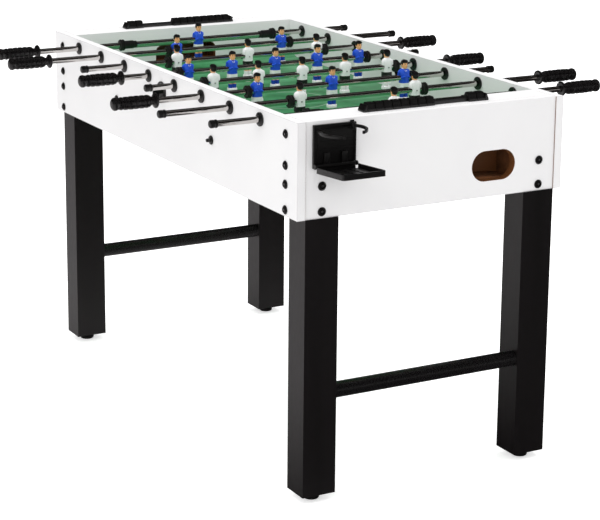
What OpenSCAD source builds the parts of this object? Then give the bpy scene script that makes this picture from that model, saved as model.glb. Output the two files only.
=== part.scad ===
// Table football table: a laminated board cabinet on four box legs, with eight player rods.
// X runs along the table, Y along the rods, Z up. The origin is on the floor under the middle.

/* [Cabinet] */
// Length of the cabinet
table_len = 1210; // [1180:5:1300]
// Width of the cabinet, across the rods
cab_w = 610; // [560:5:700]
// Height of the table, floor to the top of the side panels
table_h = 768; // [700:1:900]
// Height of the cabinet's side and end panels
cab_h = 190; // [180:1:240]
// Thickness of the laminated panels
panel_t = 18; // [15:0.5:22]
// Set-back of the end panels behind the ends of the side panels
end_inset = 2; // [0:0.5:6]
// Depth of the covered goal box at each end, outside of the cabinet to goal wall
deck_w = 84; // [78:1:110]
// Thickness of the goal wall and of the ball box's boards
wall_t = 12; // [9:0.5:15]

/* [Playfield] */
// Depth of the playing surface below the top of the side panels
field_drop = 89; // [84:1:95]
// Thickness of the playfield board
field_t = 6; // [4:0.5:9]
// Length of the raised strip in front of each goal
ramp_l = 38; // [25:1:45]
// Rise of that strip
ramp_h = 12; // [6:1:14]
// Width of the goal mouth
goal_w = 160; // [140:2:190]
// Height of the goal mouth
goal_h = 36; // [35:1:40]
// Corner radius at the top of the goal mouth
goal_r = 14; // [5:1:16]

/* [Rods] */
// Diameter of the steel rods
rod_d = 12.7; // [12:0.1:16]
// Depth of the rods' axis below the top of the side panels
rod_drop = 20; // [18:1:24]
// Distance from each goal wall to the goalkeeper's rod
goalie_gap = 66; // [65:1:80]
// Travel of a goalkeeper's rod each way from the middle
goalie_travel = 77; // [60:1:100]
// Travel of a two-man rod each way from the middle
two_travel = 118; // [90:1:130]
// Travel of a three-man rod each way from the middle
three_travel = 76; // [60:1:90]
// Travel of a five-man rod each way from the middle
five_travel = 40; // [30:1:50]
// Gap left between a handle and its bush when the rod is pushed right in
handle_gap = 26; // [15:1:40]
// Radial running clearance of a rod in its bushes and bumpers
running = 0.05; // [0.02:0.01:0.1]

/* [Rod fittings] */
// Diameter of the bush flanges
bush_d = 28; // [24:1:36]
// Thickness of the bush flanges
bush_t = 4; // [2:0.5:6]
// Diameter of the bush barrel in the panel
barrel_d = 20; // [17:0.5:22]
// Diameter of the rubber bumpers
bumper_d = 27; // [22:1:32]
// Length of a bumper
bumper_l = 13; // [8:1:16]
// Diameter of a goalkeeper rod's stop sleeve
sleeve_d = 19; // [16:0.5:24]
// Length of a goalkeeper rod's stop sleeve
sleeve_l = 30; // [15:1:45]
// Diameter of the handle's grip
grip_d = 28; // [24:1:34]
// Length of the handle's grip
grip_l = 84; // [60:1:110]
// Diameter of the handle's flange
disc_d = 31; // [28:1:40]
// Length of the rod's end cap
cap_l = 16; // [10:1:24]
// Diameter of the rod's end cap
cap_d = 16.5; // [15.5:0.5:22]

/* [Players] */
// Width of a player across the arms
man_w = 29; // [22:1:30]
// Front-to-back depth of a player's chest
man_d = 19; // [17:0.5:22]
// Height of a player's head above the rod's axis, to the crown
head_up = 39; // [36:1:46]
// Depth of a player's foot below the rod's axis
foot_down = 51; // [48:0.5:60]

/* [Legs] */
// Size of a leg along the table
leg_x = 64; // [50:1:80]
// Size of a leg across the table
leg_y = 73; // [60:1:90]
// Height of the leg's reduced post inside the cabinet
post_h = 86; // [70:1:90]
// Diameter of the stretcher tubes
stretcher_d = 32; // [20:1:34]
// Height of the stretchers above the floor
stretcher_z = 223; // [150:1:400]
// Offset of the stretchers from the legs' middle, towards the near end
stretcher_off = 16; // [0:0.5:16]
// Diameter of the levelling feet
foot_d = 33; // [25:1:50]
// Thickness of a levelling foot's pad
foot_t = 9; // [5:1:14]
// Gap between the floor and the legs, feet screwed in
foot_gap = 15; // [12:1:30]
// Diameter of a levelling foot's thread
stem_d = 10; // [6:1:12]
// How far the levelling feet screw out
foot_travel = 10; // [5:1:15]

/* [Ball openings] */
// Width of the ball return opening
return_w = 102; // [90:1:120]
// Height of the ball return opening
return_h = 61; // [50:1:70]
// Height of the ball return's middle above the cabinet's bottom
return_z = 63; // [55:1:80]
// Distance from the outside of the side panel to the ball return's middle
return_side = 164; // [150:1:180]
// Diameter of the ball, for the holes it passes
ball_d = 32; // [30:0.5:34]

/* [Scorers] */
// Length of a scorer, end stops included
scorer_l = 288; // [240:2:340]
// Length of one bead along the bar
bead_l = 19; // [14:0.5:20]
// Width of a bead
bead_w = 24; // [16:0.5:30]
// Height of a bead above the deck
bead_h = 17; // [12:0.5:24]
// Width of the scorer's bar
bar_w = 11; // [6:0.5:14]
// Height of the scorer's bar
bar_h = 9; // [4:0.5:10]

/* [Cup holders] */
// Width of the cup holder's back plate
plate_w = 93; // [85:1:110]
// Height of the cup holder's back plate
plate_h = 84; // [80:1:100]
// Thickness of the cup holder's back plate
plate_t = 6; // [4:0.5:8]
// Depth of the cup holder's tray
tray_l = 108; // [70:1:115]
// Distance from the outside of the side panel to the cup holder's middle
cup_side = 79; // [75:1:100]
// Height of the cup holder's bottom edge above the cabinet's bottom
cup_z = 99; // [90:1:105]
// Radius of the cup holder's arms, to their middle
arm_r = 44; // [34:1:45]

/* [Hidden] */
$fn = 64;

half_l = table_len / 2;
half_w = cab_w / 2;
inner_y = half_w - panel_t;
cab_z = table_h - cab_h;
goal_x = half_l - deck_w;
end_face = half_l - end_inset;
end_back = end_face - panel_t;
field_z = table_h - field_drop;
sill_z = field_z + ramp_h;
deck_z = table_h - panel_t;
rod_z = table_h - rod_drop;
rod_r = rod_d / 2;
fit = 0.1;
over = 1;

// Rods 1 to 8, far end to near end.
men_count = [1, 2, 3, 5, 5, 3, 2, 1];
// -1 puts the handle on the left (-Y) and turns the players to face the near end.
handle_side = [-1, -1, 1, -1, 1, -1, 1, 1];
// How far each rod is pushed along Y from its middle, as the table stands.
rod_rest = [2, 21, 2, 4, 1, 2, -10, -3];
rod_pitch = 2 * (goal_x - goalie_gap) / 7;
function rod_x(k) = (k - 4.5) * rod_pitch;
function travel(n) =
    n == 1 ? goalie_travel : n == 2 ? two_travel : n == 3 ? three_travel : five_travel;
function stop_y(n) = inner_y - bush_t - travel(n) - bumper_l / 2;
man_gap = 0.2;
function man_pitch(n) =
    n == 1 ? 0 : 2 * (stop_y(n) - bumper_l / 2 - man_w / 2 - man_gap) / (n - 1);
disc_t = 6;
function disc_y(n) = half_w + bush_t + travel(n) + handle_gap;

leg_in_x = half_l - leg_x;
leg_in_y = inner_y - leg_y;
leg_mid_x = half_l - leg_x / 2;
leg_mid_y = inner_y - leg_y / 2;
post_mid_x = (leg_in_x + end_back) / 2;
post_z = cab_z + post_h;
tube_wall = 1.5;
stem_l = 40;

// Bolts: a cap head on a washer outside, and a shank into the wood.
bolt_d = 6;
head_d = 18;
head_t = 2.5;
cap_head_d = 11;
cap_head_t = 4.5;
shank_l = 44;
low_bolts = [13, 63];
high_bolts = [100, 161];
peg_x = 240;
peg_rise = 87;
peg_disc_d = 19;
peg_disc_t = 3;
peg_d = 8;
peg_l = 12;
batten = 40;
ledge = 16;
cross_h = 30;
cross_w = 40;

box_in = goal_w / 2 + wall_t;
box_lo = -box_in;
return_y = half_w - return_side;
box_hi = return_y + return_w / 2 + 4;
box_floor_t = 8;
floor_lo_z = cab_z + return_z - return_h / 2 - box_floor_t - 1;
floor_hi_z = floor_lo_z + 24;

entry_z = table_h - 44;
entry_wall = 2;
entry_in_r = ball_d / 2 + 1;
entry_out_r = entry_in_r + entry_wall;
entry_flange_w = 44;
entry_flange_t = 3;
entry_lip = 13;

stop_l = 8;
bead_count = 10;
far_beads = 2;
bead_step = bead_l + 0.3;
bead_lift = 0.4;
bead_play = 0.4;

pin_r = 2;
hinge_r = 4.6;
hinge_up = 5;
tray_t = 3;
rim_h = 11;
rim_t = 3;
arm_w = 5;
arm_h = 6;
arm_gap = 0.6;
eye_r = 5;
eye_out = 7;
arm_mid = arm_r - 13;
arm_tip = 28;

panel_white = "#ecebea";
plastic_black = "#1b1b1c";
wood_brown = "#a9713f";
leg_black = "#231d20";
field_green = "#2f7d4f";
team_blue = "#1d49b5";
team_white = "#f2f2f2";
steel = "#c9cbce";

// Repeats its children at both ends, the far ones turned half round.
module both_ends() {
    children();
    rotate([0, 0, 180]) children();
}

// Repeats its children at the four corners as mirror images.
module corners() {
    for (sx = [0, 1], sy = [0, 1]) mirror([sx, 0, 0]) mirror([0, sy, 0]) children();
}

// Box given by its lowest and highest corners.
module block(low, high) {
    translate(low) cube(high - low);
}

// Cylinder along +Y starting at the origin.
module ycyl(d, l) {
    rotate([-90, 0, 0]) cylinder(d = d, h = l);
}

// Cylinder along +X starting at the origin.
module xcyl(d, l) {
    rotate([0, 90, 0]) cylinder(d = d, h = l);
}

// Solid of revolution about the Y axis from [radius, y] points.
module yturn(points) {
    rotate([-90, 0, 0]) rotate_extrude() polygon(points);
}

// Flat outline with fully rounded ends, w wide and h high, centred.
module slot_shape(w, h) {
    square([w - h, h], center = true);
    for (s = [-1, 1]) translate([s * (w - h) / 2, 0]) circle(d = h);
}

// Bolt holes for one corner: through the side panel, the end panel and into the post.
module corner_bolts(d, l, with_high = true) {
    for (z = low_bolts) {
        translate([post_mid_x, half_w, cab_z + z]) rotate([180, 0, 0]) ycyl(d, l);
        translate([end_face, leg_mid_y, cab_z + z + 3]) rotate([0, 0, 180]) xcyl(d, l);
    }
    if (with_high)
        for (z = high_bolts)
            translate([post_mid_x, half_w, cab_z + z]) rotate([180, 0, 0]) ycyl(d, l);
}

// One long side panel, on the +Y side.
module side_panel() {
    color(panel_white) difference() {
        block([-half_l, inner_y, cab_z], [half_l, half_w, table_h]);
        for (k = [1:8])
            translate([rod_x(k), inner_y - over, rod_z]) ycyl(barrel_d + fit, panel_t + 2 * over);
        translate([0, inner_y - over, entry_z])
            ycyl(2 * entry_out_r + fit, panel_t + 2 * over);
        for (s = [-1, 1])
            translate([s * peg_x, inner_y - over, cab_z + peg_rise])
                ycyl(peg_d + fit, panel_t + 2 * over);
        corners() corner_bolts(bolt_d + 2 * fit, shank_l + over);
    }
}

// End panels with the ball return opening.
module end_panels() {
    color(panel_white) both_ends() difference() {
        block([end_back, -inner_y, cab_z], [end_face, inner_y, table_h]);
        translate([end_back - over, return_y, cab_z + return_z]) rotate([90, 0, 90])
            linear_extrude(panel_t + 2 * over) slot_shape(return_w, return_h);
        corners() corner_bolts(bolt_d + 2 * fit, shank_l + over);
    }
}

// Boards that cover the goal boxes, between goal wall and end panel.
module end_decks() {
    color(panel_white) both_ends()
        block([goal_x, -inner_y, deck_z], [end_back, inner_y, table_h]);
}

// Outline of the goal mouth, from its sill up, in the plane of the goal wall.
module goal_mouth() {
    translate([-goal_w / 2, 0]) square([goal_w, goal_h - goal_r]);
    translate([-goal_w / 2 + goal_r, 0]) square([goal_w - 2 * goal_r, goal_h]);
    for (s = [-1, 1])
        translate([s * (goal_w / 2 - goal_r), goal_h - goal_r]) circle(r = goal_r);
}

// Goal walls under the front edge of each deck.
module goal_walls() {
    color(panel_white) both_ends() difference() {
        block([goal_x, -inner_y, floor_lo_z], [goal_x + wall_t, inner_y, deck_z]);
        translate([goal_x - over, 0, sill_z]) rotate([90, 0, 90])
            linear_extrude(wall_t + 2 * over) goal_mouth();
    }
}

// Playfield board with its raised strips in front of the goals.
module playfield() {
    color(field_green) translate([0, inner_y, 0]) rotate([90, 0, 0])
        linear_extrude(2 * inner_y) polygon([
            [-goal_x, field_z - field_t], [goal_x, field_z - field_t],
            [goal_x, sill_z], [goal_x - ramp_l, field_z],
            [-goal_x + ramp_l, field_z], [-goal_x, sill_z]
        ]);
}

// Boxes that catch the ball behind each goal: side boards and a floor that slopes to the return.
module ball_boxes() {
    color(wood_brown) both_ends() {
        for (y = [box_lo - wall_t, box_hi])
            block([goal_x + wall_t, y, floor_lo_z], [end_back, y + wall_t, deck_z]);
        translate([goal_x + wall_t, 0, 0]) rotate([90, 0, 90])
            linear_extrude(end_back - goal_x - wall_t) polygon([
                [box_lo, floor_lo_z], [box_hi, floor_lo_z],
                [box_hi, floor_lo_z + box_floor_t], [box_lo, floor_hi_z + box_floor_t]
            ]);
    }
}

// Battens inside the cabinet: corner blocks, ledges under the playfield's long edges, cross bars.
module inner_battens() {
    under = field_z - field_t;
    color(wood_brown) {
        corners() difference() {
            block([end_back - batten, inner_y - batten, post_z], [end_back, inner_y, deck_z]);
            corner_bolts(bolt_d + 2 * fit, shank_l + over);
        }
        for (s = [0, 1]) mirror([0, s, 0])
            difference() {
                block([-goal_x, inner_y - ledge, under - ledge], [goal_x, inner_y, under]);
                for (e = [-1, 1])
                    translate([e * peg_x, inner_y - ledge - over, cab_z + peg_rise])
                        ycyl(peg_d + fit, ledge + 2 * over);
            }
        for (s = [-1, 1]) translate([s * goal_x / 2, 0, 0])
            block([-cross_w / 2, ledge - inner_y, under - cross_h],
                  [cross_w / 2, inner_y - ledge, under]);
    }
}

// Box legs with a reduced post that stands inside the cabinet's corner.
module legs() {
    color(leg_black) corners() difference() {
        union() {
            block([leg_in_x, leg_in_y, foot_gap], [half_l, inner_y, cab_z]);
            block([leg_in_x, leg_in_y, cab_z], [end_back, inner_y, post_z]);
        }
        corner_bolts(bolt_d + 2 * fit, shank_l + over, with_high = false);
        translate([leg_mid_x, leg_mid_y, foot_gap - over])
            cylinder(d = stem_d + fit, h = stem_l + over);
    }
}

// Round stretcher tubes across each pair of legs.
module stretchers() {
    color(plastic_black) for (s = [-1, 1])
        translate([s * leg_mid_x + stretcher_off, -leg_in_y, stretcher_z]) difference() {
            ycyl(stretcher_d, 2 * leg_in_y);
            translate([0, -over, 0]) ycyl(stretcher_d - 2 * tube_wall, 2 * leg_in_y + 2 * over);
        }
}

// Levelling foot under the leg at the corner given by the signs of X and Y.
module levelling_foot(sx, sy) {
    color(plastic_black) translate([sx * leg_mid_x, sy * leg_mid_y, 0]) {
        cylinder(d1 = foot_d - 3, d2 = foot_d, h = foot_t / 2);
        translate([0, 0, foot_t / 2]) cylinder(d = foot_d, h = foot_t / 2);
        translate([0, 0, foot_t]) cylinder(d = stem_d, h = foot_gap - foot_t + stem_l - over);
    }
}

// One flanged plastic bush: a barrel through the panel and a flange on each face.
module bush() {
    out = half_w + bush_t;
    in = inner_y - bush_t;
    bore = rod_r + running;
    yturn([
        [bore, in], [bush_d / 2, in], [bush_d / 2, inner_y], [barrel_d / 2, inner_y],
        [barrel_d / 2, half_w], [bush_d / 2, half_w], [bush_d / 2, out], [bore, out]
    ]);
}

// Bushes of all eight rods, both sides.
module rod_bushes() {
    color(plastic_black) for (k = [1:8], s = [0, 1])
        mirror([0, s, 0]) translate([rod_x(k), 0, rod_z]) bush();
}

// Bolt along +Y with its washer and cap head outside y = 0, its shank inside.
module bolt() {
    yturn([
        [0, -shank_l], [bolt_d / 2, -shank_l], [bolt_d / 2, 0], [head_d / 2, 0],
        [head_d / 2, head_t], [cap_head_d / 2, head_t],
        [cap_head_d / 2, head_t + cap_head_t], [0, head_t + cap_head_t]
    ]);
}

// Flanged peg through the side panel and the ledge that carries the playfield.
module side_peg() {
    yturn([
        [0, -panel_t - ledge], [peg_d / 2, -panel_t - ledge], [peg_d / 2, 0],
        [peg_disc_d / 2, 0], [peg_disc_d / 2, peg_disc_t], [peg_d / 2, peg_disc_t],
        [peg_d / 2, peg_l], [0, peg_l]
    ]);
}

// Bolts at the four corners and pegs along the sides.
module panel_fasteners() {
    color(plastic_black) corners() {
        for (z = concat(low_bolts, high_bolts))
            translate([post_mid_x, half_w, cab_z + z]) bolt();
        for (z = low_bolts)
            translate([end_face, leg_mid_y, cab_z + z + 3]) rotate([0, 0, -90]) bolt();
        translate([peg_x, half_w, cab_z + peg_rise]) side_peg();
    }
}

// Cups through the middle of each side panel, where the ball is dropped in.
module ball_entry_cups() {
    color(plastic_black) for (s = [0, 1]) mirror([0, s, 0]) translate([0, 0, entry_z]) {
        difference() {
            union() {
                translate([0, inner_y, 0]) ycyl(2 * entry_out_r, panel_t);
                translate([0, half_w, 0]) rotate([-90, 0, 0]) linear_extrude(entry_flange_t) {
                    circle(d = entry_flange_w);
                    translate([-entry_flange_w / 2, 0])
                        square([entry_flange_w, entry_out_r + 1]);
                }
                translate([0, half_w, 0]) difference() {
                    ycyl(2 * entry_out_r, entry_lip);
                    block([-entry_flange_w, -over, 0], [entry_flange_w, entry_lip + over, ball_d]);
                }
            }
            translate([0, inner_y - over, 0]) ycyl(2 * entry_in_r, panel_t + entry_lip + 2 * over);
        }
    }
}

function bead_y(i) =
    i < bead_count - far_beads
        ? -scorer_l / 2 + stop_l + 0.3 + i * bead_step
        : scorer_l / 2 - stop_l - (bead_count - i) * bead_step;

// Scorer bars with their end stops, on top of both decks.
module scorer_rails() {
    mid = (goal_x + half_l) / 2;
    color(plastic_black) both_ends() translate([mid, 0, table_h]) {
        block([-bar_w / 2, stop_l - scorer_l / 2, 0], [bar_w / 2, scorer_l / 2 - stop_l, bar_h]);
        for (s = [0, 1]) mirror([0, s, 0])
            block([-bead_w / 2, scorer_l / 2 - stop_l, 0], [bead_w / 2, scorer_l / 2, bead_h - 2]);
    }
}

// One sliding bead, hooked over the bar, at place i.
module bead(i) {
    mid = (goal_x + half_l) / 2;
    color(plastic_black) translate([mid, bead_y(i), table_h + bead_lift]) difference() {
        block([-bead_w / 2, 0, 0], [bead_w / 2, bead_l, bead_h]);
        block([-bar_w / 2 - bead_play, -over, -over],
              [bar_w / 2 + bead_play, bead_l + over, bar_h + bead_play]);
    }
}

// All the beads except the last of the big block, which is the next to be moved.
module scorer_beads() {
    both_ends() for (i = [0:bead_count - 1]) if (i != bead_count - far_beads - 1) bead(i);
}

module moving_bead() {
    bead(bead_count - far_beads - 1);
}

// Places the children in a cup holder's own frame: x out of the panel, origin at the middle of
// the plate's bottom edge on the panel.
module at_cup() {
    translate([end_face, cup_side - half_w, cab_z + cup_z]) children();
}

// Centre of an arm's pivot pin, and where the arms' circle has its centre.
pivot_x = plate_t + eye_out;
pivot_y = sqrt(arm_r * arm_r - (arm_mid - eye_out) * (arm_mid - eye_out));
arm_z = [plate_h - 15, plate_h - 15 + arm_h + arm_gap];

// Lug that holds one arm's pin, above and below the arm.
module arm_lug(s, z) {
    low = z - arm_gap;
    high = z + arm_h + arm_gap;
    for (base = [low - 4, high])
        block([plate_t, s * pivot_y - 3, base], [pivot_x + 1, s * pivot_y + 3, base + 4]);
    translate([pivot_x, s * pivot_y, low]) cylinder(r = pin_r, h = high - low);
}

// Back plate with ribs, the hinge pin of the tray and the lugs of the arms.
module cup_plate() {
    half = plate_w / 2;
    block([0, -half, 0], [plate_t - 2, half, plate_h]);
    for (s = [0, 1]) mirror([0, s, 0])
        block([plate_t - 2, half - 4, 0], [plate_t, half, plate_h]);
    block([plate_t - 2, 4 - half, plate_h - 4], [plate_t, half - 4, plate_h]);
    for (y = [-22, 14]) block([plate_t - 2, y, 14], [plate_t + 3, y + 8, 34]);
    for (s = [0, 1]) mirror([0, s, 0])
        block([plate_t, half - 3.5, 0], [plate_t + 2 * hinge_r, half, 2 * hinge_r]);
    translate([plate_t + hinge_r, 3.5 - half, hinge_up]) ycyl(2 * pin_r, plate_w - 7);
    for (i = [0, 1]) {
        s = 2 * i - 1;
        block([plate_t - 2, s * pivot_y - 4, arm_z[i] - 6],
              [plate_t, s * pivot_y + 4, arm_z[i] + arm_h + 6]);
        arm_lug(s, arm_z[i]);
    }
}

module cup_plates() {
    color(plastic_black) both_ends() at_cup() cup_plate();
}

// Tray that swings on the plate's lower pin: a rimmed floor behind a hinge barrel.
module cup_tray() {
    half = plate_w / 2;
    inner = half - 4.5;
    mid_x = plate_t + hinge_r;
    wide_x = mid_x + 7.5;
    end_x = mid_x + tray_l;
    barrel = hinge_r - 0.4;
    low = hinge_up - barrel + 0.3;
    color(plastic_black) difference() {
        union() {
            translate([mid_x, -inner, hinge_up]) ycyl(2 * barrel, 2 * inner);
            block([mid_x, -inner, low], [wide_x + 1, inner, low + tray_t]);
            block([wide_x, -half, low], [end_x, half, low + tray_t]);
            for (s = [0, 1]) mirror([0, s, 0])
                block([wide_x, half - rim_t, low], [end_x, half, low + rim_h]);
            block([end_x - rim_t, -half, low], [end_x, half, low + rim_h]);
        }
        translate([mid_x, -half - over, hinge_up]) ycyl(2 * (pin_r + running), 2 * half + 2 * over);
        for (s = [0, 1]) mirror([0, s, 0])
            block([mid_x + 27, 8, -over], [end_x - 14, half - 9, 3 * tray_t]);
    }
}

// Ring with its middle line at arm_r, cut to the sector between two angles.
module ring_sector(low, high, h) {
    far = 3 * arm_r;
    difference() {
        cylinder(r = arm_r + arm_w / 2, h = h);
        translate([0, 0, -over]) cylinder(r = arm_r - arm_w / 2, h = h + 2 * over);
        translate([0, 0, -over]) linear_extrude(h + 2 * over) polygon([
            [0, 0], [far * cos(low), far * sin(low)], [far, -far], [-far, -far], [-far, far],
            [far * cos(high), far * sin(high)]
        ]);
    }
}

// One arm: an eye on its pin and a curved finger that closes round the cup.
module cup_arm(i) {
    root = atan2(pivot_y, eye_out - arm_mid) - 3;
    color(plastic_black) mirror([0, 1 - i, 0]) translate([0, 0, arm_z[i]]) difference() {
        union() {
            translate([pivot_x, pivot_y, 0]) cylinder(r = eye_r, h = arm_h);
            translate([plate_t + arm_mid, 0, 0]) ring_sector(arm_tip, root, arm_h);
        }
        translate([pivot_x, pivot_y, -over]) cylinder(r = pin_r + running, h = arm_h + 2 * over);
    }
}

// Puts a rod's own parts in place: k is the rod, its middle at the origin, handle towards +Y.
module at_rod(k) {
    translate([rod_x(k), rod_rest[k - 1], rod_z])
        rotate([0, 0, handle_side[k - 1] < 0 ? 180 : 0]) children();
}

module rod(k) {
    n = men_count[k - 1];
    in_cap = 3 - disc_y(n);
    in_grip = disc_y(n) + disc_t + grip_l / 2;
    color(steel) at_rod(k) translate([0, in_cap, 0]) ycyl(rod_d, in_grip - in_cap);
}

// One player, facing -X, clamped round the rod.
module player() {
    head_r = 9;
    foot_w = 20;
    foot_x = 17;
    difference() {
        union() {
            translate([0, 0, head_up - head_r]) sphere(r = head_r);
            translate([0, 0, head_up - 2.6 * head_r]) cylinder(r = 5, h = head_r);
            block([-man_d / 2, -man_w / 2, -11], [man_d / 2, man_w / 2, head_up - 2.3 * head_r]);
            block([-7, -12, -22], [7, 12, -11]);
            block([-5.5, -8.5, 8 - foot_down], [5.5, 8.5, -22]);
            block([-foot_x / 2, -foot_w / 2, -foot_down], [foot_x / 2, foot_w / 2, 8 - foot_down]);
        }
        translate([0, -man_w, 0]) ycyl(rod_d + fit, 2 * man_w);
    }
}

module players(k) {
    n = men_count[k - 1];
    color(handle_side[k - 1] < 0 ? team_blue : team_white) at_rod(k)
        for (i = [0:n - 1]) translate([0, (i - (n - 1) / 2) * man_pitch(n), 0]) player();
}

// Handle with its flange, neck and grip, and the cap on the rod's other end.
module handle(k) {
    n = men_count[k - 1];
    y = disc_y(n);
    neck = 12;
    color(plastic_black) at_rod(k) {
        yturn([
            [rod_r + fit, y - disc_t / 2], [disc_d / 2, y - disc_t / 2],
            [disc_d / 2, y + disc_t / 2], [disc_d / 3, y + disc_t / 2], [disc_d / 3, y + neck],
            [grip_d / 2, y + neck], [grip_d / 2, y + neck + grip_l - 8],
            [grip_d / 3, y + neck + grip_l], [0, y + neck + grip_l],
            [0, y + disc_t + grip_l / 2 + fit], [rod_r + fit, y + disc_t + grip_l / 2 + fit]
        ]);
        yturn([
            [0, -y], [cap_d / 2 - 2, -y], [cap_d / 2, 2 - y], [cap_d / 2, cap_l - y],
            [rod_r + fit, cap_l - y], [rod_r + fit, 3 - y - fit], [0, 3 - y - fit]
        ]);
    }
}

// Rubber bumpers that stop the rod at the side panels, with the goalkeeper's longer sleeves.
module bumpers(k) {
    n = men_count[k - 1];
    y = stop_y(n);
    bore = rod_r + running;
    inner = n == 1 ? y - bumper_l / 2 - sleeve_l : y - bumper_l / 2;
    color(plastic_black) at_rod(k) for (s = [0, 1]) mirror([0, s, 0])
        yturn([
            [bore, inner], [n == 1 ? sleeve_d / 2 : bumper_d / 2, inner],
            [n == 1 ? sleeve_d / 2 : bumper_d / 2, y - bumper_l / 2],
            [bumper_d / 2, y - bumper_l / 2], [bumper_d / 2, y + bumper_l / 2],
            [bore, y + bumper_l / 2]
        ]);
}

mirror([0, 1, 0]) side_panel();  // side_panel_left
side_panel();  // side_panel_right
end_panels();
end_decks();
goal_walls();
playfield();
ball_boxes();
inner_battens();
legs();
stretchers();
levelling_foot(1, -1);  // foot_near_left
levelling_foot(1, 1);  // foot_near_right
levelling_foot(-1, -1);  // foot_far_left
levelling_foot(-1, 1);  // foot_far_right
rod_bushes();
panel_fasteners();
ball_entry_cups();
scorer_rails();
scorer_beads();
moving_bead();  // near_bead
rotate([0, 0, 180]) moving_bead();  // far_bead
cup_plates();
at_cup() cup_tray();  // near_cup_tray
rotate([0, 0, 180]) at_cup() cup_tray();  // far_cup_tray
at_cup() cup_arm(0);  // near_left_arm
at_cup() cup_arm(1);  // near_right_arm
rotate([0, 0, 180]) at_cup() cup_arm(0);  // far_left_arm
rotate([0, 0, 180]) at_cup() cup_arm(1);  // far_right_arm
rod(1);  // rod_1
rod(2);  // rod_2
rod(3);  // rod_3
rod(4);  // rod_4
rod(5);  // rod_5
rod(6);  // rod_6
rod(7);  // rod_7
rod(8);  // rod_8
players(1);  // players_1
players(2);  // players_2
players(3);  // players_3
players(4);  // players_4
players(5);  // players_5
players(6);  // players_6
players(7);  // players_7
players(8);  // players_8
handle(1);  // handle_1
handle(2);  // handle_2
handle(3);  // handle_3
handle(4);  // handle_4
handle(5);  // handle_5
handle(6);  // handle_6
handle(7);  // handle_7
handle(8);  // handle_8
bumpers(1);  // bumpers_1
bumpers(2);  // bumpers_2
bumpers(3);  // bumpers_3
bumpers(4);  // bumpers_4
bumpers(5);  // bumpers_5
bumpers(6);  // bumpers_6
bumpers(7);  // bumpers_7
bumpers(8);  // bumpers_8
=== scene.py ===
import math

import bmesh
import bpy
import numpy as np
from mathutils import Matrix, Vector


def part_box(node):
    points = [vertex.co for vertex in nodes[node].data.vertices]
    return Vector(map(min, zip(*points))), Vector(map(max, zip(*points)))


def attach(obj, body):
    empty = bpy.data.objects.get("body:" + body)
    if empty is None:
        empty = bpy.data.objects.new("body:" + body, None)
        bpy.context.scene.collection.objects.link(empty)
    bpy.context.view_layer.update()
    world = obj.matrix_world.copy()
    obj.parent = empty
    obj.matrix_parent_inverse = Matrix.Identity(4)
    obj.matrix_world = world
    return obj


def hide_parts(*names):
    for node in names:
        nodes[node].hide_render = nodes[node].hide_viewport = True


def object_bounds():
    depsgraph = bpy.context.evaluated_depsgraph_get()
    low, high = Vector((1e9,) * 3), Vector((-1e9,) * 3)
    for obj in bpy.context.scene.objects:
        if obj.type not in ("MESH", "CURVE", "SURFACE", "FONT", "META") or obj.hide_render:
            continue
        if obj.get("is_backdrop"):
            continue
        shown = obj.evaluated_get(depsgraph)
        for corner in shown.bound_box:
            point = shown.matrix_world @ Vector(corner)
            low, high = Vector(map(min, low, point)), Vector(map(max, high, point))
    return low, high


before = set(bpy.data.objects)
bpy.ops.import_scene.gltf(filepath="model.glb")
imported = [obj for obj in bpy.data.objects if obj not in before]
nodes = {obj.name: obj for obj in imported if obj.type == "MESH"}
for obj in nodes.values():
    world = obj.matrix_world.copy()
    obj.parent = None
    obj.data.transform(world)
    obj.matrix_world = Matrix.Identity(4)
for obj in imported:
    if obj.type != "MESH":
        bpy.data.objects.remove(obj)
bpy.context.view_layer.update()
print("frame loaded:", len(nodes), "nodes")

# Everything below is worked out in millimetres and goes into the meshes in metres.
mm = 0.001


def boxOf(node):
    low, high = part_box(node)
    return np.array(low) / mm, np.array(high) / mm


# ---- colour and shader helpers

def linear(code):
    # sRGB hex to linear light
    value = np.array([int(code[i:i + 2], 16) for i in (1, 3, 5)]) / 255
    value = np.where(value <= 0.04045, value / 12.92, ((value + 0.055) / 1.055) ** 2.4)
    return (*value.tolist(), 1.0)


def addNode(tree, kind, inputs=None, **settings):
    # one node with its own settings, and its sockets' values or (node, output) links
    node = tree.nodes.new("ShaderNode" + kind)
    for name, value in settings.items():
        setattr(node, name, value)
    for name, value in (inputs or {}).items():
        if isinstance(value, tuple) and isinstance(value[0], bpy.types.Node):
            tree.links.new(value[0].outputs[value[1]], node.inputs[name])
        else:
            node.inputs[name].default_value = value
    return node


def startFinish(name, shader):
    # an empty material with its Principled shader, and the object coordinates that patterns read
    material = bpy.data.materials.new(name)
    material.use_nodes = True
    tree = material.node_tree
    tree.nodes.clear()
    principled = addNode(tree, "BsdfPrincipled", shader)
    addNode(tree, "OutputMaterial", {"Surface": (principled, "BSDF")})
    place = addNode(tree, "TexCoord")
    return material, tree, principled, place


def mixColour(tree, factor, first, second, how="MIX"):
    mix = tree.nodes.new("ShaderNodeMix")
    mix.data_type = "RGBA"
    mix.blend_type = how
    for index, value in ((0, factor), (6, first), (7, second)):
        if isinstance(value, tuple) and isinstance(value[0], bpy.types.Node):
            tree.links.new(value[0].outputs[value[1]], mix.inputs[index])
        else:
            mix.inputs[index].default_value = value
    return mix, 2


def sums(tree, how, first, second=0.0, third=None):
    node = addNode(tree, "Math", operation=how)
    for index, value in enumerate((first, second) if third is None else (first, second, third)):
        if isinstance(value, tuple):
            tree.links.new(value[0].outputs[value[1]], node.inputs[index])
        else:
            node.inputs[index].default_value = value
    return node, 0


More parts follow.
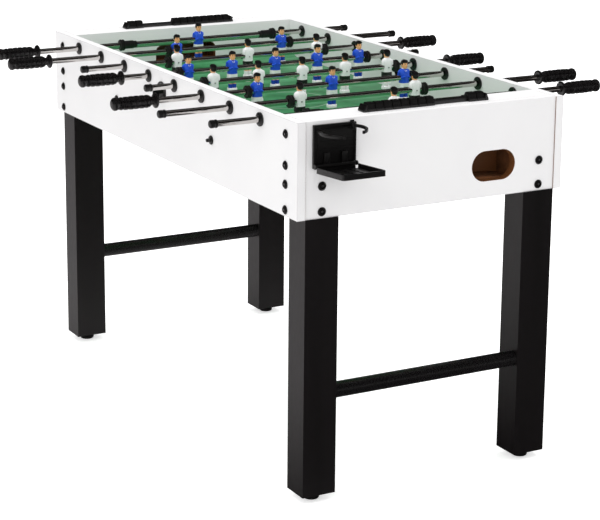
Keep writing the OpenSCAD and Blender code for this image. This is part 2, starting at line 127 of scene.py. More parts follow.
def grain(tree, place, size, detail=3.0, stretch=(1, 1, 1)):
    # fractal noise whose blobs are about size millimetres, longer along axes with a small stretch
    fit = addNode(tree, "Mapping", {"Vector": (place, "Object"), "Scale": stretch})
    return addNode(tree, "TexNoise", {"Vector": (fit, "Vector"), "Scale": 1 / (size * mm),
                                      "Detail": detail, "Roughness": 0.55})


def finish(name, dark, light, rough, size, depth, stretch=(1, 1, 1), broad=60, **shader):
    # one solid coloured stuff: its shade drifts between two tones over broad millimetres, and a
    # grain of size millimetres and depth millimetres breaks up its gloss and its surface
    shader = {key.replace("_", " "): value for key, value in shader.items()}
    material, tree, principled, place = startFinish(name, shader)
    drift = grain(tree, place, broad, 2.0, stretch)
    fine = grain(tree, place, size, 4.0, stretch)
    both = sums(tree, "MULTIPLY_ADD", (fine, "Fac"), 0.45, sums(
        tree, "MULTIPLY", (drift, "Fac"), 0.55))
    spread = addNode(tree, "MapRange", {"Value": both, "From Min": 0.33, "From Max": 0.67})
    colour = mixColour(tree, (spread, "Result"), linear(dark), linear(light))
    tree.links.new(colour[0].outputs[colour[1]], principled.inputs["Base Color"])
    gloss = addNode(tree, "MapRange", {"Value": (fine, "Fac"), "From Min": 0.3, "From Max": 0.7,
                                       "To Min": rough[0], "To Max": rough[1]})
    tree.links.new(gloss.outputs["Result"], principled.inputs["Roughness"])
    bump = addNode(tree, "Bump", {"Height": (fine, "Fac"), "Strength": 0.6,
                                  "Distance": depth * mm})
    tree.links.new(bump.outputs["Normal"], principled.inputs["Normal"])
    return material


# ---- mesh helpers: every shape is a set of closed loops of points, worked out as whole arrays

def loft(rings, wrap=False):
    # loops of points joined one after another by four-sided faces; a flat face closes each end,
    # or wrap joins the last loop to the first
    rings = np.asarray(rings, float)
    count, around = rings.shape[:2]
    row = np.arange(count if wrap else count - 1)[:, None]
    col = np.arange(around)[None, :]
    below, above = row * around, (row + 1) % count * around
    beside = (col + 1) % around
    quads = np.stack(np.broadcast_arrays(below + col, below + beside, above + beside,
                                         above + col), -1).reshape(-1, 4)
    corners, sizes = quads.ravel(), np.full(len(quads), 4)
    if not wrap:
        ends = np.arange(around)
        corners = np.concatenate([corners, ends[::-1], (count - 1) * around + ends])
        sizes = np.concatenate([sizes, [around, around]])
    return rings.reshape(-1, 3), corners, sizes


def softened(points, radius, steps=4, closed=True):
    # each corner of a path gives way to a short parabola that starts and ends radius from it
    points = np.asarray(points, float)
    toPrevious = np.roll(points, 1, 0) - points
    toNext = np.roll(points, -1, 0) - points
    lengthBack = np.linalg.norm(toPrevious, axis=1, keepdims=True)
    lengthOn = np.linalg.norm(toNext, axis=1, keepdims=True)
    start = points + toPrevious / lengthBack * np.minimum(radius, 0.48 * lengthBack)
    end = points + toNext / lengthOn * np.minimum(radius, 0.48 * lengthOn)
    t = np.linspace(0, 1, steps)[:, None, None]
    path = (1 - t) ** 2 * start + 2 * t * (1 - t) * points + t ** 2 * end
    path = path.transpose(1, 0, 2).reshape(-1, points.shape[1])
    if not closed:
        path = np.vstack([points[:1], path[steps:-steps], points[-1:]])
    return path


def eased(table, count):
    # rows of sizes joined by a Catmull-Rom curve, so that a few rows give a smooth run
    table = np.asarray(table, float)
    t = np.linspace(0, len(table) - 1, count)
    i = np.minimum(t.astype(int), len(table) - 2)
    f = (t - i)[:, None]
    p = np.vstack([2 * table[0] - table[1], table, 2 * table[-1] - table[-2]])
    a, b, c, d = p[i], p[i + 1], p[i + 2], p[i + 3]
    return (2 * b + (c - a) * f + (2 * a - 5 * b + 4 * c - d) * f ** 2
            + (3 * b - a - 3 * c + d) * f ** 3) / 2


def placed(first, second, third, axis):
    # puts the two sideways columns and the lengthways one in x, y, z order
    order = {"x": (third, first, second), "y": (second, third, first), "z": (first, second, third)}
    return np.stack(np.broadcast_arrays(*order[axis]), -1)


def turned(profile, centre=(0, 0, 0), axis="y", around=32, radius=0.5, wrap=False):
    # a profile of (radius, distance) turned about an axis, its corners softened by radius
    profile = softened(profile, radius, closed=wrap)
    angle = np.linspace(0, 2 * np.pi, around, endpoint=False)
    reach, along = profile[:, :1], profile[:, 1:]
    rings = placed(reach * np.cos(angle), reach * np.sin(angle), along, axis)
    return loft(rings + np.asarray(centre, float), wrap)


def slab(outline, low, high, axis="z", edge=0.6):
    # a closed outline carried from low to high; the last edge millimetres at both ends follow a
    # quarter circle inwards, so the arrises catch the light
    outline = np.asarray(outline, float)
    run = np.roll(outline, -1, 0) - np.roll(outline, 1, 0)
    run /= np.linalg.norm(run, axis=1, keepdims=True)
    out = np.stack([run[:, 1], -run[:, 0]], -1)
    turn = np.radians([0, 30, 60, 90])
    inset = edge * (1 - np.sin(turn))
    height = edge * (1 - np.cos(turn))
    inset = np.concatenate([inset, inset[::-1]])[:, None, None]
    height = np.concatenate([low + height, high - height[::-1]])[:, None]
    flat = outline[None] - inset * out[None]
    return loft(placed(flat[..., 0], flat[..., 1], height + 0 * flat[..., 0], axis))


def corners(low, high, radius=1.0):
    # a rectangle's outline with softened corners
    return softened([low, (high[0], low[1]), high, (low[0], high[1])], radius)


def brick(low, high, edge=0.6, radius=0.8):
    # a softened block between two opposite corners
    return slab(corners(low[:2], high[:2], radius), low[2], high[2], "z", edge)


def egg(centre, half, power=2.0, around=24, levels=13):
    # a ball with its own half sizes; a power above 2 squares it up
    lift = np.linspace(-np.pi / 2, np.pi / 2, levels)[:, None]
    turn = np.linspace(0, 2 * np.pi, around, endpoint=False)[None]
    curve = lambda value: np.sign(value) * np.abs(value) ** (2 / power)
    level = curve(np.cos(lift))
    rings = np.stack(np.broadcast_arrays(half[0] * level * curve(np.cos(turn)),
                                         half[1] * level * curve(np.sin(turn)),
                                         half[2] * curve(np.sin(lift))), -1)
    return loft(rings + np.asarray(centre, float))


def trunk(table, count, around=28):
    # level slices from rows of (height, half width across, half depth, middle's x, middle's y,
    # power), each slice a superellipse
    z, wide, deep, x, y, power = eased(table, count).T[:, :, None]
    turn = np.linspace(0, 2 * np.pi, around, endpoint=False)[None]
    cosine, sine = np.cos(turn), np.sin(turn)
    rings = np.stack(np.broadcast_arrays(
        x + deep * np.sign(cosine) * np.abs(cosine) ** (2 / power),
        y + wide * np.sign(sine) * np.abs(sine) ** (2 / power), z), -1)
    return loft(rings)


def hose(path, radius, count=16, around=12, up=(0, 0, 1), flat=1.0):
    # a round or flattened section carried along a smooth path and drawn in at both ends
    line = eased(np.column_stack([np.asarray(path, float),
                                  np.broadcast_to(radius, len(path))]), count)
    points, thick = line[:, :3], line[:, 3:]
    ahead = np.gradient(points, axis=0)
    ahead /= np.linalg.norm(ahead, axis=1, keepdims=True)
    side = np.cross(ahead, up)
    side /= np.linalg.norm(side, axis=1, keepdims=True)
    over = np.cross(side, ahead)
    close = np.sqrt(np.clip(1 - np.abs(np.linspace(-1, 1, count)) ** 10, 0, 1))[:, None]
    thick = thick * np.maximum(close, 0.02)
    turn = np.linspace(0, 2 * np.pi, around, endpoint=False)[None, :, None]
    rings = (points[:, None] + thick[:, None] * np.cos(turn) * side[:, None]
             + flat * thick[:, None] * np.sin(turn) * over[:, None])
    return loft(rings)


def moved(part, by=(0, 0, 0), flip=False, mirror=None):
    # shifts a part; flip turns it half round about Z, mirror names an axis to reflect
    points = np.array(part[0])
    if mirror is not None:
        points[:, "xyz".index(mirror)] *= -1
    if flip:
        points[:, :2] *= -1
    return (points + np.asarray(by, float), *part[1:])


def painted(finishName, *parts):
    return [(part, finishName) for part in parts]


def shifted(parts, by=(0, 0, 0), flip=False, mirror=None):
    return [(moved(part, by, flip, mirror), name) for part, name in parts]


def makePiece(name, parts, body, stands=(), angle=38):
    # joins the parts into one mesh in metres; doubles are merged and every shell faces outwards
    used = list(dict.fromkeys(finishName for part, finishName in parts))
    points = np.concatenate([part[0] for part, finishName in parts]) * mm
    starts = np.cumsum([0] + [len(part[0]) for part, finishName in parts[:-1]])
    loops = np.concatenate([part[1] + start for (part, finishName), start in zip(parts, starts)])
    sizes = np.concatenate([part[2] for part, finishName in parts])
    marks = np.concatenate([np.full(len(part[2]), used.index(finishName))
                            for part, finishName in parts])
    mesh = bpy.data.meshes.new(name)
    mesh.vertices.add(len(points))
    mesh.vertices.foreach_set("co", points.ravel())
    mesh.loops.add(len(loops))
    mesh.loops.foreach_set("vertex_index", loops.astype(np.int32))
    mesh.polygons.add(len(sizes))
    firstLoops = np.concatenate([[0], np.cumsum(sizes)[:-1]])
    mesh.polygons.foreach_set("loop_start", firstLoops.astype(np.int32))
    mesh.polygons.foreach_set("material_index", marks.astype(np.int32))
    for finishName in used:
        mesh.materials.append(finishes[finishName])
    mesh.update(calc_edges=True)
    work = bmesh.new()
    work.from_mesh(mesh)
    bmesh.ops.remove_doubles(work, verts=work.verts, dist=2e-6)
    bmesh.ops.recalc_face_normals(work, faces=work.faces)
    work.to_mesh(mesh)
    work.free()
    mesh.shade_smooth()
    mesh.set_sharp_from_angle(angle=math.radians(angle))
    piece = bpy.data.objects.new(name, mesh)
    bpy.context.scene.collection.objects.link(piece)
    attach(piece, body)
    if stands:
        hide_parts(*stands)
    return piece


def dress(finishName, *names):
    # gives CAD nodes a finish
    for name in names:
        mesh = nodes[name].data
        if not mesh.materials:
            mesh.materials.append(finishes[finishName])
        for index in range(len(mesh.materials)):
            mesh.materials[index] = finishes[finishName]


finishes = {}

# ---- finishes

# Moulded ABS: near black, satin, with a fine spark-eroded texture.
finishes["mouldedBlack"] = finish("moulded_black_abs", "#0a0909", "#131212", (0.26, 0.42),
                                  1.2, 0.03, IOR=1.53)
# Handle grips: the same stuff with more shine where hands rub it.
finishes["gripBlack"] = finish("polished_grip_abs", "#0a0909", "#131112", (0.2, 0.34),
                               2.0, 0.03, IOR=1.53)
# Natural rubber: duller, a little brown.
finishes["rubber"] = finish("bumper_rubber", "#100f0f", "#1d1a1a", (0.42, 0.6), 1.5, 0.04,
                            IOR=1.52)
# Black-oxide steel: dark with a metallic glint.
finishes["oxide"] = finish("black_oxide_steel", "#141313", "#2a2828", (0.28, 0.45), 0.8, 0.02,
                           Metallic=0.6)
# Bare steel: the figures' real screw heads, and the disc at the foot of each panel bolt's socket,
# which is a painted glint.
finishes["bareSteelAndGlint"] = finish("bare_steel_and_painted_glint", "#8f8f90", "#b9b9ba", (0.3, 0.42), 0.6, 0.02,
                               Metallic=1.0)
# Chromed steel tube: mirror-like, faintly warm, drawn lengthways along Y.
finishes["chrome"] = finish("chromed_steel_tube", "#bdb8b5", "#dcd9d7", (0.06, 0.13), 1.5, 0.004,
                            stretch=(1, 0.05, 1), Metallic=1.0)
# Gloss powder coat on the stretchers.
finishes["powderBlack"] = finish("gloss_powder_coat", "#0b0a0b", "#121011", (0.24, 0.3), 1.2,
                                 0.004, IOR=1.5)
# Black melamine foil on the legs: fine upright pores, satin.
finishes["blackFoil"] = finish("black_melamine_foil", "#0b0708", "#151012", (0.34, 0.46), 1.2,
                               0.02, stretch=(1, 1, 0.06), IOR=1.5)
# Raw medium-density fibreboard: warm brown, felted, no gloss.
finishes["rawFibreboard"] = finish("raw_fibreboard", "#5f381c", "#855430", (0.8, 0.95), 2.5,
                                   0.08, broad=18, IOR=1.45)

# Pad-printed, injection-moulded figure plastics.
figureTones = {
    "skin": ("#eda96d", "#f9c08a"), "hair": ("#0c0a0b", "#171314"),
    "shirtBlue": ("#1747c0", "#235be0"), "sockBlue": ("#15389c", "#1d46b8"),
    "figureWhite": ("#f0f0f1", "#fafafa"), "figureBlack": ("#0d0c0d", "#181617"),
    "lip": ("#a35a44", "#b36850"),
}
for tone, (dark, light) in figureTones.items():
    finishes[tone] = finish("painted_figure_" + tone, dark, light, (0.26, 0.4), 3.0, 0.03,
                            broad=9, IOR=1.5)


def melamine(name, lines):
    # white melamine foil on board: faint orange-peel, satin, a hairline where each edge band
    # meets the face; lines lists (axis, place in mm) of those joints, both signs drawn
    material, tree, principled, place = startFinish(name, {"IOR": 1.5})
    axes = addNode(tree, "SeparateXYZ", {"Vector": (place, "Object")})
    peel = grain(tree, place, 3.0, 3.0)
    cloud = grain(tree, place, 120.0, 2.0)
    colour = mixColour(tree, (cloud, "Fac"), linear("#eae9ea"), linear("#f0efef"))
    hair = (addNode(tree, "Value"), 0)
    hair[0].outputs[0].default_value = 0.0
    for axis, at in lines:
        away = sums(tree, "ABSOLUTE", (axes, axis))
        near = sums(tree, "COMPARE", away, at * mm, 0.35 * mm)
        hair = sums(tree, "MAXIMUM", hair, near)
    colour = mixColour(tree, sums(tree, "MULTIPLY", hair, 0.4), colour, linear("#b9b7ba"))
    gloss = addNode(tree, "MapRange", {"Value": (peel, "Fac"), "To Min": 0.34, "To Max": 0.5})
    tree.links.new(gloss.outputs["Result"], principled.inputs["Roughness"])
    bump = addNode(tree, "Bump", {"Height": (peel, "Fac"), "Strength": 0.3,
                                  "Distance": 0.03 * mm})
    tree.links.new(bump.outputs["Normal"], principled.inputs["Normal"])
    tree.links.new(colour[0].outputs[colour[1]], principled.inputs["Base Color"])
    return material, tree, principled, axes, place, colour


def bareWhere(mask, tree, principled, place, colour):
    # the raw board shows where mask is 1
    felt = grain(tree, place, 2.5, 4.0)
    fibre = mixColour(tree, (felt, "Fac"), linear("#5f381c"), linear("#855430"))
    colour = mixColour(tree, mask, colour, fibre)
    tree.links.new(colour[0].outputs[colour[1]], principled.inputs["Base Color"])


def roundEnded(tree, across, upward, flat, reach):
    # 1 within reach millimetres of a straight run that stands flat to each side of across = 0
    across = sums(tree, "MAXIMUM", sums(tree, "SUBTRACT", across, flat * mm), 0.0)
    away = sums(tree, "SQRT", sums(tree, "ADD", sums(tree, "MULTIPLY", across, across),
                                   sums(tree, "MULTIPLY", upward, upward)))
    return sums(tree, "LESS_THAN", away, reach * mm)


sideLow, sideHigh = boxOf("side_panel_right")
endLow, endHigh = boxOf("end_panels")
deckHigh = boxOf("end_decks")[1]
wallHigh = boxOf("goal_walls")[1]
topZ = sideHigh[2]
endFace = endHigh[0]
halfWidth, innerY = sideHigh[1], sideLow[1]

# The side boards are bare fibreboard where they close the ball return, behind the goal walls.
material, tree, principled, axes, place, colour = melamine("white_melamine_side", [
    ("X", sideHigh[0] - 0.9), ("Y", sideHigh[1] - 1.1), ("Y", sideLow[1] + 1.1),
    ("Z", sideHigh[2] - 0.9), ("Z", sideLow[2] + 0.9)])
bare = sums(tree, "MULTIPLY",
            sums(tree, "LESS_THAN", sums(tree, "ABSOLUTE", (axes, "Y")), (innerY + 0.2) * mm),
            sums(tree, "GREATER_THAN", sums(tree, "ABSOLUTE", (axes, "X")), wallHigh[0] * mm))
bareWhere(bare, tree, principled, place, colour)
finishes["sideBoard"] = material
finishes["deckBoard"] = melamine("white_melamine_deck", [("X", deckHigh[0] - 0.8)])[0]

# The end boards show their raw fibreboard inside the ball return, a slot with round ends.
returnHole = {"y": 141.0, "z": 641.0, "width": 102.0, "height": 61.0}
material, tree, principled, axes, place, colour = melamine(
    "white_melamine_end", [("Z", endLow[2] + 0.9)])
across = sums(tree, "MULTIPLY", (axes, "Y"), sums(tree, "SIGN", (axes, "X")))
across = sums(tree, "ABSOLUTE", sums(tree, "SUBTRACT", across, returnHole["y"] * mm))
upward = sums(tree, "SUBTRACT", (axes, "Z"), returnHole["z"] * mm)
inHole = roundEnded(tree, across, upward, (returnHole["width"] - returnHole["height"]) / 2,
                    returnHole["height"] / 2 + 0.5)
inside = sums(tree, "LESS_THAN", sums(tree, "ABSOLUTE", (axes, "X")), (endFace - 17.8) * mm)
bare = sums(tree, "MAXIMUM", inHole, inside)
bareWhere(bare, tree, principled, place, colour)
finishes["endBoard"] = material

# The goal walls are white, with a green band above the mouth and raw fibreboard in it.
goalMouth = {"half": 80.0, "top": 727.0, "radius": 14.0, "bandTop": 738.0}
material, tree, principled, axes, place, colour = melamine("white_melamine_goal_wall", [])
upward = sums(tree, "MAXIMUM", sums(tree, "SUBTRACT", (axes, "Z"), (
    goalMouth["top"] - goalMouth["radius"]) * mm), 0.0)
inMouth = roundEnded(tree, sums(tree, "ABSOLUTE", (axes, "Y")), upward,
                     goalMouth["half"] - goalMouth["radius"], goalMouth["radius"] + 0.3)
inBand = sums(tree, "COMPARE", (axes, "Z"), (goalMouth["top"] + goalMouth["bandTop"]) / 2 * mm,
              (goalMouth["bandTop"] - goalMouth["top"]) / 2 * mm)
colour = mixColour(tree, inBand, colour, linear("#1f6b3d"))
behind = sums(tree, "GREATER_THAN", sums(tree, "ABSOLUTE", (axes, "X")), (wallHigh[0] - 0.2) * mm)
bare = sums(tree, "MAXIMUM", inMouth, behind)
bareWhere(bare, tree, principled, place, colour)
finishes["goalBoard"] = material

# The pitch: a printed foil with mown bands across it, blades of grass, and white lines.
pitch = {"band": 65.0, "line": 4.0, "circle": 95.0, "spot": 6.0, "edgeY": 287.0,
         "markX": 500.0, "markY": 22.0, "markHalf": 9.0, "dark": "#1f6a3a", "light": "#4f9c69",
         "chalk": "#dfe9df"}
material, tree, principled, place = startFinish("printed_grass_foil", {"IOR": 1.5})
axes = addNode(tree, "SeparateXYZ", {"Vector": (place, "Object")})
blades = grain(tree, place, 2.2, 5.0, (1, 0.35, 1))
patches = grain(tree, place, 45.0, 3.0)
wave = sums(tree, "SINE", sums(tree, "MULTIPLY", (axes, "X"), math.pi / (pitch["band"] * mm)))
wave = sums(tree, "MULTIPLY_ADD", wave, 6.0, 0.0)
wave = addNode(tree, "MapRange", {"Value": wave, "From Min": -1.0, "From Max": 1.0,
                                  "To Min": 0.25, "To Max": 0.75})
tone = sums(tree, "ADD", sums(tree, "MULTIPLY", (wave, 0), 0.35), sums(
    tree, "ADD", sums(tree, "MULTIPLY", (patches, "Fac"), 0.75),
    sums(tree, "MULTIPLY", (blades, "Fac"), 0.35)))
spread = addNode(tree, "MapRange", {"Value": tone, "From Min": 0.42, "From Max": 1.02})
grass = mixColour(tree, (spread, "Result"), linear(pitch["dark"]), linear(pitch["light"]))
absX = sums(tree, "ABSOLUTE", (axes, "X"))
absY = sums(tree, "ABSOLUTE", (axes, "Y"))
half = pitch["line"] / 2 * mm


def bar(along, at, across, reach):
    # a straight line at along = at, drawn while across stays below reach
    near = sums(tree, "COMPARE", along, at * mm, half)
    return sums(tree, "MULTIPLY", near, sums(tree, "LESS_THAN", across, reach * mm))


def ring(atX, radius, width=None):
    # a circle about (atX, 0), or a full spot when width is its radius
    dx = sums(tree, "SUBTRACT", absX, atX * mm)
    far = sums(tree, "SQRT", sums(tree, "ADD", sums(tree, "MULTIPLY", dx, dx),
                                  sums(tree, "MULTIPLY", absY, absY)))
    return sums(tree, "COMPARE", far, radius * mm, width * mm if width else half)


chalk = sums(tree, "MAXIMUM", bar(absX, 0.0, absY, pitch["edgeY"]), sums(
    tree, "MAXIMUM", ring(0.0, pitch["circle"]), ring(0.0, 0.0, pitch["spot"])))
chalk = sums(tree, "MULTIPLY", chalk, 0.4)
# a short dash in front of each goal, left of its middle seen from the goal
turnedY = sums(tree, "MULTIPLY", (axes, "Y"), sums(tree, "SIGN", (axes, "X")))
dash = sums(tree, "MULTIPLY", sums(tree, "COMPARE", absX, pitch["markX"] * mm, half), sums(
    tree, "COMPARE", turnedY, -pitch["markY"] * mm, pitch["markHalf"] * mm))
chalk = sums(tree, "MAXIMUM", chalk, dash)
chalk = sums(tree, "MULTIPLY", chalk, 0.85)
colour = mixColour(tree, chalk, grass, linear(pitch["chalk"]))
tree.links.new(colour[0].outputs[colour[1]], principled.inputs["Base Color"])
gloss = addNode(tree, "MapRange", {"Value": (blades, "Fac"), "To Min": 0.32, "To Max": 0.48})
tree.links.new(gloss.outputs["Result"], principled.inputs["Roughness"])
bump = addNode(tree, "Bump", {"Height": (blades, "Fac"), "Strength": 0.25,
                              "Distance": 0.05 * mm})
tree.links.new(bump.outputs["Normal"], principled.inputs["Normal"])
finishes["pitch"] = material
print("finishes ready:", len(finishes))

# ---- the frame's own nodes

dress("sideBoard", "side_panel_left", "side_panel_right")
dress("endBoard", "end_panels")
dress("deckBoard", "end_decks")
dress("goalBoard", "goal_walls")
dress("pitch", "playfield")
dress("rawFibreboard", "ball_boxes", "inner_battens")
dress("blackFoil", "legs")
dress("powderBlack", "stretchers")
dress("chrome", *[f"rod_{k}" for k in range(1, 9)])
print("frame dressed")

# ---- levelling feet

foot = {"pad": 33.0, "padHigh": 9.0, "stem": 10.0, "thread": 1.5}
for name in ("foot_near_left", "foot_near_right", "foot_far_left", "foot_far_right"):
    low, high = boxOf(name)
    middle = (low + high) / 2
    centre = (middle[0], middle[1], low[2])
    radius = foot["pad"] / 2
    pad = turned([(0, 0), (radius - 1.5, 0), (radius, 3), (radius, foot["padHigh"] - 3),
                  (radius - 4, foot["padHigh"]), (8, foot["padHigh"] + 2.5),
                  (0, foot["padHigh"] + 2.5)], centre, "z", 40, 1.2)
    along = np.arange(foot["padHigh"] + 1, high[2] - low[2], foot["thread"] / 2)
    crest = foot["stem"] / 2 - 0.5 * (np.arange(len(along)) % 2)
    stem = turned(np.vstack([[0, along[0]], np.column_stack([crest, along]), [0, along[-1]]]),
                  centre, "z", 24, 0.1)
    makePiece(name.replace("foot", "levelling_foot"), painted("mouldedBlack", pad)
              + painted("oxide", stem), name + "_body", [name])
print("feet made")

# ---- rod fittings

menOn = {1: 1, 2: 2, 3: 3, 4: 5, 5: 5, 6: 3, 7: 2, 8: 1}
bush = {"flange": 14.0, "thick": 4.0, "hub": 9.2, "hubOut": 1.2, "bore": 6.4}
rodPlaces = {}
for k in menOn:
    low, high = boxOf(f"rod_{k}")
    rodPlaces[k] = (low + high) / 2
parts = []
for k, middle in rodPlaces.items():
    for inner, outer, way in ((halfWidth, halfWidth + bush["thick"], 1),
                              (innerY, innerY - bush["thick"], -1)):
        hub = outer + (bush["hubOut"] if way > 0 else 0)
        profile = [(bush["bore"], inner - way * 6), (bush["hub"], inner - way * 6),
                   (bush["hub"], inner), (bush["flange"], inner),
                   (bush["flange"], outer), (bush["hub"] + 1.6, outer), (bush["hub"] + 0.6, hub),
                   (bush["bore"] + 0.6, hub), (bush["bore"], hub - way * 0.8)]
        bushRing = turned(profile, (middle[0], 0, middle[2]), "y", 40, 1.1, wrap=True)
        parts += painted("mouldedBlack", bushRing, moved(bushRing, mirror="y"))
makePiece("bushes", parts, "table", ["rod_bushes"])

bumper = {"flange": 13.5, "groove": 11.6, "boss": 9.8, "long": 13.0, "bore": 6.4, "sleeve": 9.5}


def bumperPart(outer, inner):
    # flange, groove, flange and a boss, from the wall side inwards; outer and inner are along Y
    long, edge = bumper["long"], bumper["flange"]
    rows = [(bumper["bore"], 0), (edge - 2.5, 0), (edge, 1.6), (edge, 5.0), (bumper["groove"], 5.8),
            (bumper["groove"], 7.0), (edge - 0.3, 7.8), (edge - 0.3, 10.4), (bumper["boss"], 11.2),
            (bumper["boss"], long), (bumper["bore"], long)]
    if outer - inner > long + 1:
        rows[-2:] = [(bumper["boss"], long + 0.1), (bumper["sleeve"], long + 1),
                     (bumper["sleeve"], outer - inner - 8),
                     (bumper["sleeve"] - 1.5, outer - inner - 7),
                     (bumper["sleeve"] - 1.5, outer - inner), (bumper["bore"], outer - inner)]
    rows = [(radius, outer - along) for radius, along in rows]
    return turned(rows, (0, 0, 0), "y", 36, 0.9, wrap=True)


handle = {"flange": 15.5, "flangeThick": 6.0, "neck": 8.6, "neckLong": 12.0, "grip": 14.0,
          "gripLong": 84.0, "bump": 2.8, "rows": 5, "around": 8, "cap": 8.25, "capLong": 16.0}


def gripPart(start):
    # a barrel whose radius swells under rows of rectangular pads, with a collar and a dome at its
    # tip; start is the distance along Y where the neck ends
    long, big = handle["gripLong"], handle["grip"]
    along = np.concatenate([[0, 0.6, 1.6], np.linspace(3, long - 3, 112), long - np.array(
        [2.2, 1.2, 0.5, 0])])
    share = along / long
    envelope = np.interp(share, [0, 0.02, 0.05, 0.12, 0.5, 0.78, 0.82, 0.85, 0.9, 0.955, 0.985, 1],
                         np.array([0.72, 0.86, 0.93, 0.95, 0.97, 0.93, 0.83, 0.84, 0.97, 0.93,
                                   0.78, 0.5]) * big)
    envelope = np.convolve(np.pad(envelope, 2, mode="edge"), np.ones(5) / 5, "valid")
    turn = np.linspace(0, 2 * np.pi, 108, endpoint=False)
    lengthwise = np.clip((np.cos(2 * np.pi * handle["rows"] * (share - 0.08) / 0.7) + 0.8) * 3.2,
                         0, 1) * ((share > 0.06) & (share < 0.79))
    aroundPads = np.clip((np.cos(handle["around"] * turn) + 0.8) * 3.0, 0, 1)
    lowered = handle["bump"] * 0.75 * (1 - lengthwise[:, None] * aroundPads[None])
    radius = envelope[:, None] - lowered * ((share > 0.04) & (share < 0.81))[:, None]
    rings = np.stack(np.broadcast_arrays(radius * np.cos(turn), (start + along)[:, None],
                                         radius * np.sin(turn)), -1)
    return loft(rings)


def handlePart(disc):
    # the flange and neck turned on the rod, then the grip; disc is the flange's middle
    edge, halfThick = handle["flange"], handle["flangeThick"] / 2
    neck = turned([(6.45, disc - halfThick), (edge - 1.5, disc - halfThick),
                   (edge, disc - halfThick + 1.5), (edge, disc + halfThick - 1.5),
                   (edge - 2, disc + halfThick), (11.5, disc + halfThick + 0.6),
                   (handle["neck"], disc + halfThick + 2.4), (handle["neck"], disc + 8.6),
                   (10.2, disc + handle["neckLong"] + 1), (6.45, disc + handle["neckLong"] + 1)],
                  (0, 0, 0), "y", 48, 1.2, wrap=True)
    return [neck, gripPart(disc + handle["neckLong"])]


def capPart(disc):
    # the rod's end cap: a rounded cup with a rolled rim
    edge = handle["cap"]
    return turned([(0, -disc), (edge - 2.2, -disc), (edge - 0.3, 2.2 - disc),
                   (edge - 0.3, 9 - disc),
                   (edge - 1, 10 - disc), (edge - 1, 11.4 - disc), (edge, 12.2 - disc),
                   (edge, 15 - disc), (edge - 1, handle["capLong"] - disc),
                   (6.45, handle["capLong"] - disc), (6.45, 4 - disc), (0, 4 - disc)],
                  (0, 0, 0), "y", 32, 0.8)


# ---- players

man = {"width": 29.0}


